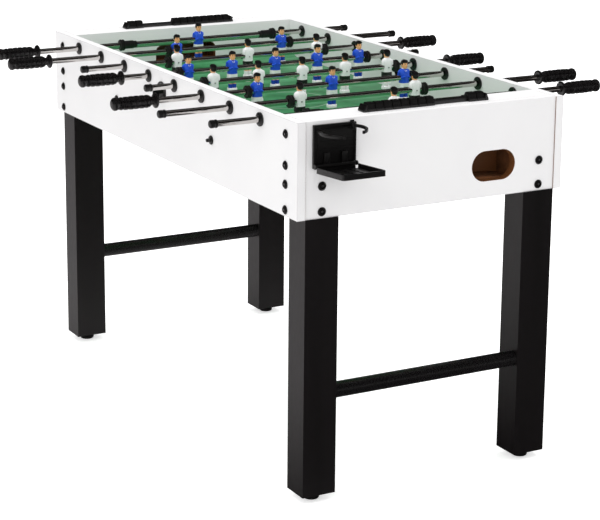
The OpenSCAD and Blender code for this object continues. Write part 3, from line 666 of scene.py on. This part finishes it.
def figure(kit):
    # one man facing -X with the rod through the hips: kit names the finishes of shirt, shorts,
    # socks and boots
    chest = trunk([(-11.4, 11.2, 8.3, 0, 0, 2.8), (-6, 11.0, 8.8, 0, 0, 2.8),
                   (0, 10.9, 9.2, 0, 0, 2.8), (6, 11.4, 9.2, 0, 0, 2.7),
                   (12, 12.0, 8.6, 0.2, 0, 2.6), (16.4, 11.0, 7.4, 0.5, 0, 2.4),
                   (19.0, 7.4, 5.8, 0.7, 0, 2.2), (20.4, 3.8, 4.0, 0.8, 0, 2.0)], 26)
    hem = trunk([(-11.9, 10.6, 8.0, 0, 0, 2.8), (-11.2, 11.4, 8.7, 0, 0, 2.8),
                 (-10.0, 11.4, 8.7, 0, 0, 2.8), (-9.2, 10.6, 8.0, 0, 0, 2.8)], 8)
    upper = hose([(0.4, 10.0, 16.0), (1.8, 11.2, 11.6), (2.8, 11.3, 5.6), (1.6, 11.0, 0.6)],
                 [3.3, 3.3, 3.1, 2.8], 12, 12, up=(1, 0, 0))
    fore = hose([(2.2, 10.6, 0.2), (-2.6, 10.8, -0.2), (-7.0, 9.0, 0.8), (-9.6, 6.0, 2.2)],
                [2.7, 2.6, 2.4, 2.0], 12, 12)
    fist = egg((-10.0, 5.2, 2.6), (2.0, 2.4, 2.2), 2.2, 12, 7)
    shorts = trunk([(-10.4, 10.4, 7.8, 0, 0, 3.0), (-12, 11.5, 8.3, 0, 0, 3.0),
                    (-17, 11.9, 8.0, 0, 0, 3.0), (-19.5, 11.7, 7.8, 0, 0, 3.0)], 12)
    shortLeg = trunk([(-17, 5.4, 7.4, 0, 6.1, 2.8), (-20, 5.7, 7.6, 0, 6.1, 2.8),
                      (-22.3, 5.6, 7.5, 0, 6.1, 2.8), (-22.4, 5.0, 6.8, 0, 6.1, 2.8)], 8, 20)
    knee = trunk([(-20, 4.6, 5.2, 0.2, 5.4, 2.2), (-24, 4.5, 5.2, -0.2, 5.2, 2.2),
                  (-28, 4.6, 5.5, -0.6, 5.1, 2.2), (-32, 4.1, 4.8, 0, 4.9, 2.2),
                  (-35, 4.0, 4.6, 0, 4.8, 2.2)], 10, 18)
    sock = trunk([(-34.2, 4.0, 4.8, 0, 4.8, 2.4), (-34.8, 4.5, 5.4, 0, 4.8, 2.4),
                  (-37.5, 4.6, 5.6, 0.3, 4.7, 2.4), (-41, 4.5, 5.4, 0.2, 4.7, 2.4),
                  (-44, 4.3, 5.2, 0, 4.7, 2.4)], 10, 18)
    boot = trunk([(-43.2, 9.2, 6.8, 0, 0, 5.0), (-44.2, 9.8, 7.8, 0, 0, 5.0),
                  (-47.5, 10.0, 8.4, 0, 0, 5.0), (-50.2, 9.8, 8.1, 0, 0, 5.0),
                  (-51.0, 9.2, 7.4, 0, 0, 5.0)], 12)
    neck = trunk([(16.5, 5.0, 5.0, 0.8, 0, 2.0), (19.6, 4.3, 4.5, 0.7, 0, 2.0),
                  (22.4, 4.2, 4.6, 0.5, 0, 2.0), (25.0, 4.6, 5.2, 0.6, 0, 2.0)], 8, 18)
    head = trunk([(19.0, 2.4, 2.7, -3.4, 0, 2.1), (20.0, 3.7, 4.7, -2.4, 0, 2.1),
                  (22.5, 5.2, 6.7, -1.3, 0, 2.1), (26.5, 6.1, 7.8, -0.6, 0, 2.1),
                  (31, 6.3, 8.1, 0.0, 0, 2.1), (35, 5.6, 7.1, 0.3, 0, 2.0),
                  (37.4, 3.6, 4.5, 0.4, 0, 2.0), (38.0, 1.5, 1.7, 0.4, 0, 2.0)], 22, 24)
    nose = egg((-8.6, 0, 27.0), (1.3, 1.0, 1.8), 2.0, 10, 7)
    brow = hose([(-7.0, 4.2, 30.2), (-8.0, 2.8, 30.7), (-8.4, 1.3, 30.4)], 0.5, 8, 8)
    eye = egg((-7.8, 2.5, 28.8), (0.6, 0.9, 0.6), 2.0, 10, 6)
    ear = egg((0.6, 6.3, 27.4), (1.6, 0.9, 2.4), 2.0, 10, 7)
    mouth = hose([(-7.4, 1.7, 23.6), (-8.0, 0.0, 23.4), (-7.4, -1.7, 23.6)], 0.42, 8, 8)
    back = egg((1.2, 0, 30.4), (8.0, 7.0, 8.6), 2.2, 28, 15)
    fringe = egg((-2.0, 0, 34.6), (6.9, 6.7, 4.3), 2.2, 24, 11)
    screw = turned([(0, 8.4), (1.7, 8.4), (1.7, 9.6), (1.2, 10.0), (0, 10.0)], (0, 0, -1.0), "x",
                   18, 0.25)
    collar = hose([(2.6, 4.9, 20.0), (-1.6, 5.0, 19.4), (-5.2, 3.0, 17.2), (-7.8, 0.3, 13.4)],
                  [0.9, 1.1, 1.1, 0.8], 14, 10, flat=0.7)
    backCollar = hose([(2.6, 4.9, 20.0), (4.6, 2.8, 20.3), (5.2, 0.0, 20.5)], 1.0, 8, 10, flat=0.7)
    sides = lambda *made: [*made, *[moved(part, mirror="y") for part in made]]
    return (painted(kit["shirt"], chest, hem, *sides(upper, fore, fist))
            + painted(kit["collar"], *sides(collar, backCollar))
            + painted(kit["shorts"], shorts, *sides(shortLeg))
            + painted("skin", neck, head, nose, *sides(knee, ear))
            + painted("hair", back, fringe, *sides(brow, eye)) + painted("lip", mouth)
            + painted(kit["socks"], *sides(sock))
            + painted(kit["boots"], boot) + painted("bareSteelAndGlint", screw))


kits = {
    "blue": {"shirt": "shirtBlue", "collar": "figureWhite", "shorts": "figureWhite",
             "socks": "sockBlue", "boots": "figureWhite"},
    "white": {"shirt": "figureWhite", "collar": "figureWhite", "shorts": "figureBlack",
              "socks": "figureWhite", "boots": "figureWhite"},
}
men = {team: figure(kit) for team, kit in kits.items()}

for k, count in menOn.items():
    gripLow, gripHigh = boxOf(f"handle_{k}")
    menLow, menHigh = boxOf(f"players_{k}")
    stopLow, stopHigh = boxOf(f"bumpers_{k}")
    rest = (stopLow[1] + stopHigh[1]) / 2
    flip = gripHigh[1] - rest < rest - gripLow[1]
    team = "blue" if flip else "white"
    reach = max(gripHigh[1] - rest, rest - gripLow[1])
    disc = reach - handle["gripLong"] - handle["neckLong"]
    centre = (rodPlaces[k][0], rest, rodPlaces[k][2])
    body = f"player_rod_{k}"
    makePiece(f"handle_and_cap_{k}", shifted(painted("gripBlack", *handlePart(disc))
              + painted("mouldedBlack", capPart(disc)), centre, flip), body,
              [f"handle_{k}"])
    outer = (stopHigh[1] - stopLow[1]) / 2
    inner = outer - bumper["long"] - (30.0 if count == 1 else 0.0)
    stop = bumperPart(outer, inner)
    makePiece(f"rod_bumpers_{k}", shifted(painted("rubber", stop, moved(stop, mirror="y")),
              centre, flip), f"slider_{k}", [f"bumpers_{k}"])
    spread = menHigh[1] - menLow[1] - man["width"]
    parts = []
    for y in np.linspace(-spread / 2, spread / 2, count):
        parts += shifted(men[team], (0, y, 0))
    makePiece(f"men_{k}", shifted(parts, centre, flip), body, [f"players_{k}"])
print("rods fitted:", len(menOn))

# ---- screws and pegs on the panels

screw = {"washer": 9.0, "washerThick": 2.0, "head": 7.2, "headHigh": 4.6, "hex": 3.0, "deep": 2.6,
         "shank": 3.0, "shankLong": 44.0, "x": 558.5, "y": 250.5,
         "sideZ": (591.0, 641.0, 678.0, 739.0), "endZ": (591.0, 641.0),
         "pegX": 240.0, "pegZ": 665.0}


def socketHead():
    # a low button head along +Y from y = 0, with a six-sided socket
    turn = np.linspace(0, 2 * np.pi, 48, endpoint=False)
    six = 1 / np.cos((turn + np.pi / 6) % (np.pi / 3) - np.pi / 6)
    base, top = screw["washerThick"], screw["headHigh"]
    rows = [(0.01, base - 0.2, 1), (screw["head"], base - 0.2, 1), (screw["head"], base + 0.5, 1),
            (screw["head"] - 0.9, top - 1.0, 1), (screw["head"] - 2.2, top - 0.2, 1),
            (screw["hex"] + 0.5, top, six),
            (screw["hex"], top - 0.5, six), (screw["hex"], top - screw["deep"], six),
            (0.01, top - screw["deep"] - 0.4, 1)]
    rings = [np.stack(np.broadcast_arrays(radius * shape * np.cos(turn), along,
                                          radius * shape * np.sin(turn)), -1)
             for radius, along, shape in rows]
    return loft(rings)


washer = turned([(0, -0.1), (7.2, -0.1), (screw["washer"], 0.5), (screw["washer"], 1.3),
                 (8.0, screw["washerThick"]), (0, screw["washerThick"])], axis="y", around=40,
                radius=0.6)
shank = turned([(0, -screw["shankLong"]), (2.2, -screw["shankLong"]),
                (screw["shank"], 2 - screw["shankLong"]), (screw["shank"], 1), (0, 1)],
               axis="y", around=16)
# a bright steel disc at the foot of each socket, standing in for the glint there: a painted
# highlight
paintedGlint = turned([(0, 1.4), (2.3, 1.4), (2.3, 3.3), (0, 3.3)], axis="y", around=12, radius=0.2)
bolt = painted("mouldedBlack", washer) + painted("oxide", socketHead(), shank) \
    + painted("bareSteelAndGlint", paintedGlint)
peg = painted("mouldedBlack", turned([
    (0, -34), (4, -34), (4, -0.2), (8.2, -0.2), (9.5, 0.8), (9.5, 2.0), (8.6, 3.0), (4.6, 3.2),
    (3.9, 4.4), (3.9, 10.5), (3.0, 12.0), (0, 12.0)], axis="y", around=32, radius=0.7))


def turnedToX(parts):
    # turns parts that point along +Y so that they point along +X
    return [((part[0][:, [1, 0, 2]] * (1, -1, 1), *part[1:]), name) for part, name in parts]


parts = []
for sideways in (None, "x"):
    for across in (None, "y"):
        corner = []
        for z in screw["sideZ"]:
            corner += shifted(bolt, (screw["x"], halfWidth, z))
        for z in screw["endZ"]:
            corner += shifted(turnedToX(bolt), (endFace, screw["y"], z))
        corner += shifted(peg, (screw["pegX"], halfWidth, screw["pegZ"]))
        parts += shifted(shifted(corner, mirror=sideways), mirror=across)
makePiece("screws_and_pegs", parts, "table", ["panel_fasteners"])

# ---- ball entry cups

entry = {"z": 724.0, "inner": 17.0, "outer": 19.0, "half": 22.0, "drop": 20.0, "thick": 3.0,
         "lip": 13.0}


def entryCup():
    # an arched flange round a short tube through the board, and a half-round lip under it
    turn = np.linspace(0, 2 * np.pi, 96, endpoint=False)
    cosine, sine = np.cos(turn), np.sin(turn)
    square = np.minimum(1 / np.maximum(np.abs(cosine), 1e-6), entry["drop"] / entry["half"]
                        / np.maximum(-sine, 1e-6))
    arch = entry["half"] * np.where(sine > 0, 1.0, np.minimum(square, 1.22))
    front, back = halfWidth + entry["thick"], innerY
    rows = [(arch, halfWidth), (arch, front - 0.8), (arch - 0.8, front),
            (entry["inner"] + 1, front),
            (entry["inner"], front - 1), (entry["inner"], back), (entry["outer"], back),
            (entry["outer"], halfWidth)]
    rings = [np.stack(np.broadcast_arrays(radius * cosine, along, radius * sine), -1)
             for radius, along in rows]
    tube = loft(rings, wrap=True)
    sweep = np.radians(np.linspace(180, 360, 33))
    outline = np.concatenate([
        np.stack([entry["outer"] * np.cos(sweep), entry["outer"] * np.sin(sweep)], -1),
        np.stack([entry["inner"] * np.cos(sweep), entry["inner"] * np.sin(sweep)], -1)[::-1]])
    stages = np.linspace(0, 1, 5)[:, None]
    reach = front - 0.5 + (entry["lip"] - entry["thick"] + 0.5) * stages
    rings = np.stack(np.broadcast_arrays(outline[None, :, 0], reach, outline[None, :, 1]), -1)
    return [tube, loft(rings)]


cup = shifted(painted("mouldedBlack", *entryCup()), (0, 0, entry["z"]))
makePiece("entry_cups", cup + shifted(cup, mirror="y"), "table",
          ["ball_entry_cups"])
print("screws and cups made")

# ---- scorers

scorer = {"x": 563.0, "long": 288.0, "stop": 8.0, "bar": 11.0, "barHigh": 9.0, "bead": 24.0,
          "beadLong": 19.0, "beadHigh": 17.0, "lift": 0.4, "step": 19.3}


def beadPart(y):
    # a bead like a cut-off roof: an upright lip at the foot, a ledge, and sides that slope in
    wide, long, footZ = scorer["bead"] / 2, scorer["beadLong"] / 2, topZ + scorer["lift"]
    rows = [(0.0, 0.4, 0.4), (0.5, 0.0, 0.0), (4.4, 0.0, 0.0), (5.0, 0.5, 0.1), (5.3, 2.4, 0.2),
            (13.4, 4.4, 0.9), (15.8, 5.0, 1.3), (scorer["beadHigh"], 6.4, 2.0)]
    rings = []
    for height, insetX, insetY in rows:
        outline = corners((-wide + insetX, -long + insetY), (wide - insetX, long - insetY), 1.4)
        rings.append(np.column_stack([outline, np.full(len(outline), footZ + height)]))
    ridge = hose([(wide - 1.2, 1.2 - long, footZ + 4.0), (wide - 3.2, 1.6 - long, footZ + 8.6),
                  (wide - 5.0, 2.2 - long, footZ + 14.0)], [1.0, 0.9, 0.8], 8, 8, up=(0, 1, 0))
    made = [loft(rings), ridge, moved((ridge[0] * (-1, -1, 1), *ridge[1:]))]
    return [moved(part, (scorer["x"], y, 0)) for part in made]


rail = []
halfLong = scorer["long"] / 2
railBar = brick((scorer["x"] - scorer["bar"] / 2, scorer["stop"] - halfLong - 1, topZ),
             (scorer["x"] + scorer["bar"] / 2, halfLong - scorer["stop"] + 1,
              topZ + scorer["barHigh"]), 1.0, 0.5)
wedge = slab(softened([(halfLong - scorer["stop"], 0), (halfLong, 0), (halfLong, 3.2),
                       (halfLong - 5.0, 14.4), (halfLong - scorer["stop"], 14.4)], 0.8),
             -scorer["bead"] / 2, scorer["bead"] / 2, "x", 1.2)
wedge = moved(wedge, (scorer["x"], 0, topZ))
rail = painted("mouldedBlack", railBar, wedge, moved(wedge, mirror="y"))
makePiece("scorer_bars", rail + shifted(rail, flip=True), "table",
          ["scorer_rails"])
beadPlaces = [-halfLong + scorer["stop"] + 0.3 + i * scorer["step"] for i in range(8)]
beadPlaces += [halfLong - scorer["stop"] - (2 - i) * scorer["step"] for i in range(2)]
beadPlaces = [place + scorer["beadLong"] / 2 for place in beadPlaces]
still = painted("mouldedBlack", *[part for i, y in enumerate(beadPlaces) if i != 7
                                  for part in beadPart(y)])
makePiece("bead_rows", still + shifted(still, flip=True), "table",
          ["scorer_beads"])
for end, flip in (("near", False), ("far", True)):
    makePiece(f"{end}_sliding_bead", shifted(painted("mouldedBlack", *beadPart(beadPlaces[7])),
              flip=flip), f"{end}_bead_body", [f"{end}_bead"])
print("scorers made")

# ---- cup holders, in their own frame: x out of the board, y across, z up from the plate's foot

holder = {"at": (603.0, -226.0, 677.0), "half": 46.5, "high": 84.0, "thick": 6.0,
          "pivotX": 13.0, "pivotY": 36.88, "armZ": (69.0, 75.6), "armHigh": 6.0, "armR": 44.0,
          "armMid": 37.0, "tip": 28.0, "root": 120.0, "tray": 108.0, "trayHalf": 46.5,
          "trayFrom": 7.5, "hingeX": 10.6, "hingeZ": 5.0}


def plateParts():
    half, high, thick = holder["half"], holder["high"], holder["thick"]
    made = [brick((0, -half, 0), (3.6, half, high), 0.6, 1.0)]
    frameOuter = corners((-half, 0), (half, high), 3.0)
    frameInner = corners((-half + 4.2, 4.0), (half - 4.2, high - 4.2), 2.0)
    rows = [(frameOuter, 3.0), (frameOuter, thick - 0.7),
            (frameOuter * (0.985, 0.985) + (0, 0.6), thick),
            (frameInner * (1.01, 1.0), thick), (frameInner, thick - 0.8), (frameInner, 3.0)]
    rings = [np.column_stack([np.full(len(outline), x), outline]) for outline, x in rows]
    made.append(loft(rings, wrap=True))
    made += [brick((3.2, y, 4), (9, y + 12, 30), 0.9, 1.2) for y in (-24, 14)]
    made += [brick((3.2, -41, z - 0.8), (4.2, 41, z + 0.8), 0.4, 0.4) for z in (36, 50)]
    made.append(brick((3.2, -37, 4), (5.0, -34.6, 80), 0.6, 0.6))
    sweep = np.radians(np.linspace(16, 164, 25))
    ledge = np.stack([3.2 + 9.0 * np.sin(sweep) ** 0.8, 36.0 * np.cos(sweep)], -1)
    ledge = np.vstack([ledge, [3.2, -34.6], [3.2, 34.6]])
    made.append(slab(ledge, high - 9.6, high - 7.6, "z", 0.4))
    cheek = slab(softened([(thick - 1, 0.2), (12, 0.2), (15.2, 2.6), (15.2, 7.4), (12, 9.4),
                           (thick - 1, 9.4)], 1.6), half - 3.4, half, "y", 0.5)
    cheek = (cheek[0][:, [2, 1, 0]] * 1.0, *cheek[1:])
    made += [cheek, moved(cheek, mirror="y")]
    made.append(turned([(0, 3 - half), (1.9, 3 - half), (1.9, half - 3), (0, half - 3)],
                       (holder["hingeX"], 0, holder["hingeZ"]), "y", 16, 0.3))
    for sign, z in zip((-1, 1), holder["armZ"]):
        y = sign * holder["pivotY"]
        made.append(brick((3.2, y - 4, z - 6), (thick + 0.4, y + 4, z + 12), 0.6, 1.0))
        for low, deep in ((z - 4.6, 4.0), (z + holder["armHigh"] + 0.6, 2.4)):
            made.append(brick((thick - 1, y - 3, low), (holder["pivotX"] + 1.6, y + 3, low + deep),
                              0.8, 1.6))
        made.append(turned([(0, z - 1), (1.9, z - 1), (1.9, z + 7), (0, z + 7)],
                           (holder["pivotX"], y, 0), "z", 16, 0.3))
    return made


def trayParts():
    half, near, far = holder["trayHalf"], holder["hingeX"], holder["hingeX"] + holder["tray"]
    low, high, inner, start = 1.1, 12.1, half - 4.5, near + holder["trayFrom"]
    made = [turned([(2.1, -inner), (4.0, -inner), (4.0, inner), (2.1, inner)],
                   (near, 0, holder["hingeZ"]), "y", 28, 0.6, wrap=True),
            brick((near - 1, 0.6 - inner, low - 7.5), (near + 2.4, inner - 0.6, 4.4), 0.5, 0.5),
            brick((near - 1, 0.6 - inner, low - 7.5), (start + 1.5, inner - 0.6, low - 4.9),
                  0.5, 0.5)]
    floorParts = []
    for y in (-1, 1):
        left, right = sorted((y * 0.2, y * (half - 1.6)))
        outer = corners((start + 0.4, left), (far - 1.6, right), 0.6)
        window = corners((near + 80, left + 6), (far - 9, right - 6), 3.0)
        rows = [(outer, low), (outer, low + 2.6), (window, low + 2.6), (window, low)]
        floorParts.append(loft([np.column_stack([outline, np.full(len(outline), z)])
                                for outline, z in rows], wrap=True))
    middle = half - 1.5
    path = softened([(start, -middle), (far - 1.5, -middle), (far - 1.5, middle),
                     (start, middle)], 6.0, 6, closed=False)
    ahead = np.gradient(path, axis=0)
    ahead /= np.linalg.norm(ahead, axis=1, keepdims=True)
    section = np.array([(-1.5, low), (1.5, low), (1.5, high - 0.7), (0.8, high), (-0.8, high),
                        (-1.5, high - 0.7)])
    rings = np.stack(np.broadcast_arrays(
        path[:, :1] + ahead[:, 1:] * section[:, 0], path[:, 1:] - ahead[:, :1] * section[:, 0],
        section[:, 1]), -1)
    floorParts.append(loft(rings))
    floorParts += [brick((near + 9, y - 1, low + 2), (near + 76, y + 1, low + 4.2), 0.5, 0.6)
                   for y in (-20, 0, 20)]
    # the floor and its rim slope down towards the plate, by 7.5 mm at the hinge
    for points, loops, sizes in floorParts:
        points[:, 2] -= 7.5 * (1 - (points[:, 0] - near) / holder["tray"])
        made.append((points, loops, sizes))
    return made


def armPart(z):
    # an eye on its pin and a finger that thins towards a small hook, bent to one radius
    sweep = np.linspace(holder["root"], holder["tip"], 40)
    wide = np.interp(sweep, [holder["tip"], 40, 85, holder["root"]], [1.5, 1.9, 2.5, 2.5])
    angle = np.radians(sweep)
    outer = np.stack([np.cos(angle), np.sin(angle)], -1) * (holder["armR"] + wide)[:, None]
    inner = np.stack([np.cos(angle), np.sin(angle)], -1) * (holder["armR"] - wide)[:, None]
    tip = outer[-1] + (inner[-1] - outer[-1]) * 0.5 + np.array([0.9, -1.6])
    outline = np.concatenate([outer, [tip], inner[::-1]])[::-1] + (holder["armMid"], 0)
    finger = slab(outline, z, z + holder["armHigh"], "z", 0.9)
    eyelet = turned([(2.15, z), (5.0, z), (5.0, z + holder["armHigh"]),
                     (2.15, z + holder["armHigh"])],
                  (holder["pivotX"], holder["pivotY"], 0), "z", 32, 0.8, wrap=True)
    tipBall = turned([(0, z), (2.6, z), (2.6, z + holder["armHigh"]), (0, z + holder["armHigh"])],
                   (*(outer[-1] / 2 + inner[-1] / 2 + (holder["armMid"], 0)), 0), "z", 18, 1.0)
    return [eyelet, finger, tipBall]


cheekPlates = painted("mouldedBlack", *plateParts())
plates = shifted(cheekPlates, holder["at"])
makePiece("cup_holder_plates", plates + shifted(plates, flip=True), "table",
          ["cup_plates"])
for end, flip in (("near", False), ("far", True)):
    tray = shifted(shifted(painted("mouldedBlack", *trayParts()), holder["at"]), flip=flip)
    makePiece(f"{end}_tray", tray, f"{end}_tray_body", [f"{end}_cup_tray"])
    for side, z, mirror in (("left", holder["armZ"][0], "y"), ("right", holder["armZ"][1], None)):
        arm = shifted(shifted(painted("mouldedBlack", *armPart(z)), mirror=mirror), holder["at"])
        makePiece(f"{end}_{side}_finger", shifted(arm, flip=flip), f"{end}_{side}_arm_body",
                  [f"{end}_{side}_arm"])
print("cup holders made")

# ---- floor, light and camera

studio = {"floorHalf": 30.0, "sky": "#ffffff", "skyStrength": 0.93,
          "glossSky": "#14110f", "glossHorizon": "#e6e4e2", "glossFloorDark": "#1c1816",
          "glossFloorLight": "#c9c5c6", "backdrop": 0.55}
mesh = bpy.data.meshes.new("studio_floor")
reach = studio["floorHalf"]
mesh.from_pydata([(-reach, -reach, 0), (reach, -reach, 0), (reach, reach, 0), (-reach, reach, 0)],
                 [], [(0, 1, 2, 3)])
floor = bpy.data.objects.new("studio_floor", mesh)
bpy.context.scene.collection.objects.link(floor)
floor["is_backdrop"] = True
finishes["paper"] = finish("studio_paper", "#fafafa", "#fdfdfd", (0.85, 0.95), 8.0, 0.02)
# The paper is lit from behind where it is looked at directly, and gives mirrors a two-sided room:
# pale towards -X and -Y, dark towards +X and +Y.
tree = finishes["paper"].node_tree
shader = next(node for node in tree.nodes if node.bl_idname == "ShaderNodeBsdfPrincipled")
path = addNode(tree, "LightPath")
axes = addNode(tree, "SeparateXYZ", {"Vector": (addNode(tree, "TexCoord"), "Object")})
side = addNode(tree, "MapRange", {"Value": sums(tree, "ADD", (axes, "X"), (axes, "Y")),
                                  "From Min": -0.6, "From Max": 0.6})
room = mixColour(tree, (side, "Result"), linear(studio["glossFloorLight"]),
                 linear(studio["glossFloorDark"]))
paperColour = mixColour(tree, (path, "Is Glossy Ray"), linear("#fcfcfc"), room)
tree.links.new(paperColour[0].outputs[paperColour[1]], shader.inputs["Base Color"])
direct = sums(tree, "SUBTRACT", 1.0, sums(tree, "MAXIMUM", (path, "Is Diffuse Ray"),
                                          (path, "Is Glossy Ray")))
glow = sums(tree, "MULTIPLY", direct, studio["backdrop"])
tree.links.new(glow[0].outputs[glow[1]], shader.inputs["Emission Strength"])
shader.inputs["Emission Color"].default_value = linear("#ffffff")
mesh.materials.append(finishes["paper"])

world = bpy.data.worlds.new("studio")
bpy.context.scene.world = world
world.use_nodes = True
tree = world.node_tree
tree.nodes.clear()
aim = addNode(tree, "SeparateXYZ", {"Vector": (addNode(tree, "TexCoord"), "Generated")})
rise = addNode(tree, "MapRange", {"Value": (aim, "Z"), "From Min": 0.0, "From Max": 0.16})
above = addNode(tree, "MapRange", {"Value": (aim, "Z"), "From Min": 0.72, "From Max": 0.9,
                                   "To Max": 0.14})
forward = addNode(tree, "MapRange", {"Value": (aim, "X"), "From Min": -0.1, "From Max": 0.3})
band = sums(tree, "MULTIPLY", sums(tree, "SUBTRACT", 1.0, (rise, "Result")),
            (forward, "Result"))
band = sums(tree, "MAXIMUM", band, (above, "Result"))
gloss = mixColour(tree, band, linear(studio["glossSky"]), linear(studio["glossHorizon"]))
path = addNode(tree, "LightPath")
sky = mixColour(tree, (path, "Is Glossy Ray"), linear(studio["sky"]), gloss)
back = addNode(tree, "Background", {"Strength": studio["skyStrength"]})
tree.links.new(sky[0].outputs[sky[1]], back.inputs["Color"])
addNode(tree, "OutputWorld", {"Surface": (back, "Background")})

lamps = {
    "key": {"at": (1.6, -3.4, 2.9), "aim": (0.0, 0.0, 0.6), "size": (2.6, 1.8), "power": 26},
    "front": {"at": (4.6, 0.6, 2.6), "aim": (0.2, 0.0, 0.6), "size": (2.4, 1.6), "power": 1},
    "top": {"at": (-0.4, 0.3, 3.6), "aim": (0.0, 0.0, 0.7), "size": (3.0, 3.0), "power": 62},
}



def stand(thing, at, back, roll=0.0):
    # puts a thing at a point, its +Z along back, its +X level but for the roll in radians
    back = np.asarray(back, float) / np.linalg.norm(back)
    right = np.cross((0, 0, 1), back)
    right /= np.linalg.norm(right)
    up = np.cross(back, right)
    matrix = np.eye(4)
    matrix[:3, 0] = math.cos(roll) * right + math.sin(roll) * up
    matrix[:3, 1] = math.cos(roll) * up - math.sin(roll) * right
    matrix[:3, 2] = back
    matrix[:3, 3] = at
    thing.matrix_world = Matrix(matrix.tolist())


for name, lamp in lamps.items():
    light = bpy.data.lights.new(name, "AREA")
    light.shape = "RECTANGLE"
    light.size, light.size_y = lamp["size"]
    light.energy = lamp["power"]
    lampObject = bpy.data.objects.new(name, light)
    lampObject.visible_glossy = False
    bpy.context.scene.collection.objects.link(lampObject)
    stand(lampObject, lamp["at"], np.array(lamp["at"]) - lamp["aim"])

view = {"at": (3.7284, -2.0182, 1.5109), "azimuth": 61.172, "elevation": 13.445, "roll": 0.504,
        "focal": 116.99, "shift": -80 / 600}
camera = bpy.data.cameras.new("camera")
camera.sensor_width = 36.0
camera.lens = view["focal"]
camera.shift_y = view["shift"]
camera.clip_end = 100.0
cameraObject = bpy.data.objects.new("camera", camera)
bpy.context.scene.collection.objects.link(cameraObject)
azimuth, elevation, roll = (math.radians(view[key]) for key in ("azimuth", "elevation", "roll"))
stand(cameraObject, view["at"], (math.sin(azimuth) * math.cos(elevation),
      -math.cos(azimuth) * math.cos(elevation), math.sin(elevation)), roll)
bpy.context.scene.camera = cameraObject
bpy.context.scene.view_settings.view_transform = "Standard"
print("studio ready")

low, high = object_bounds()
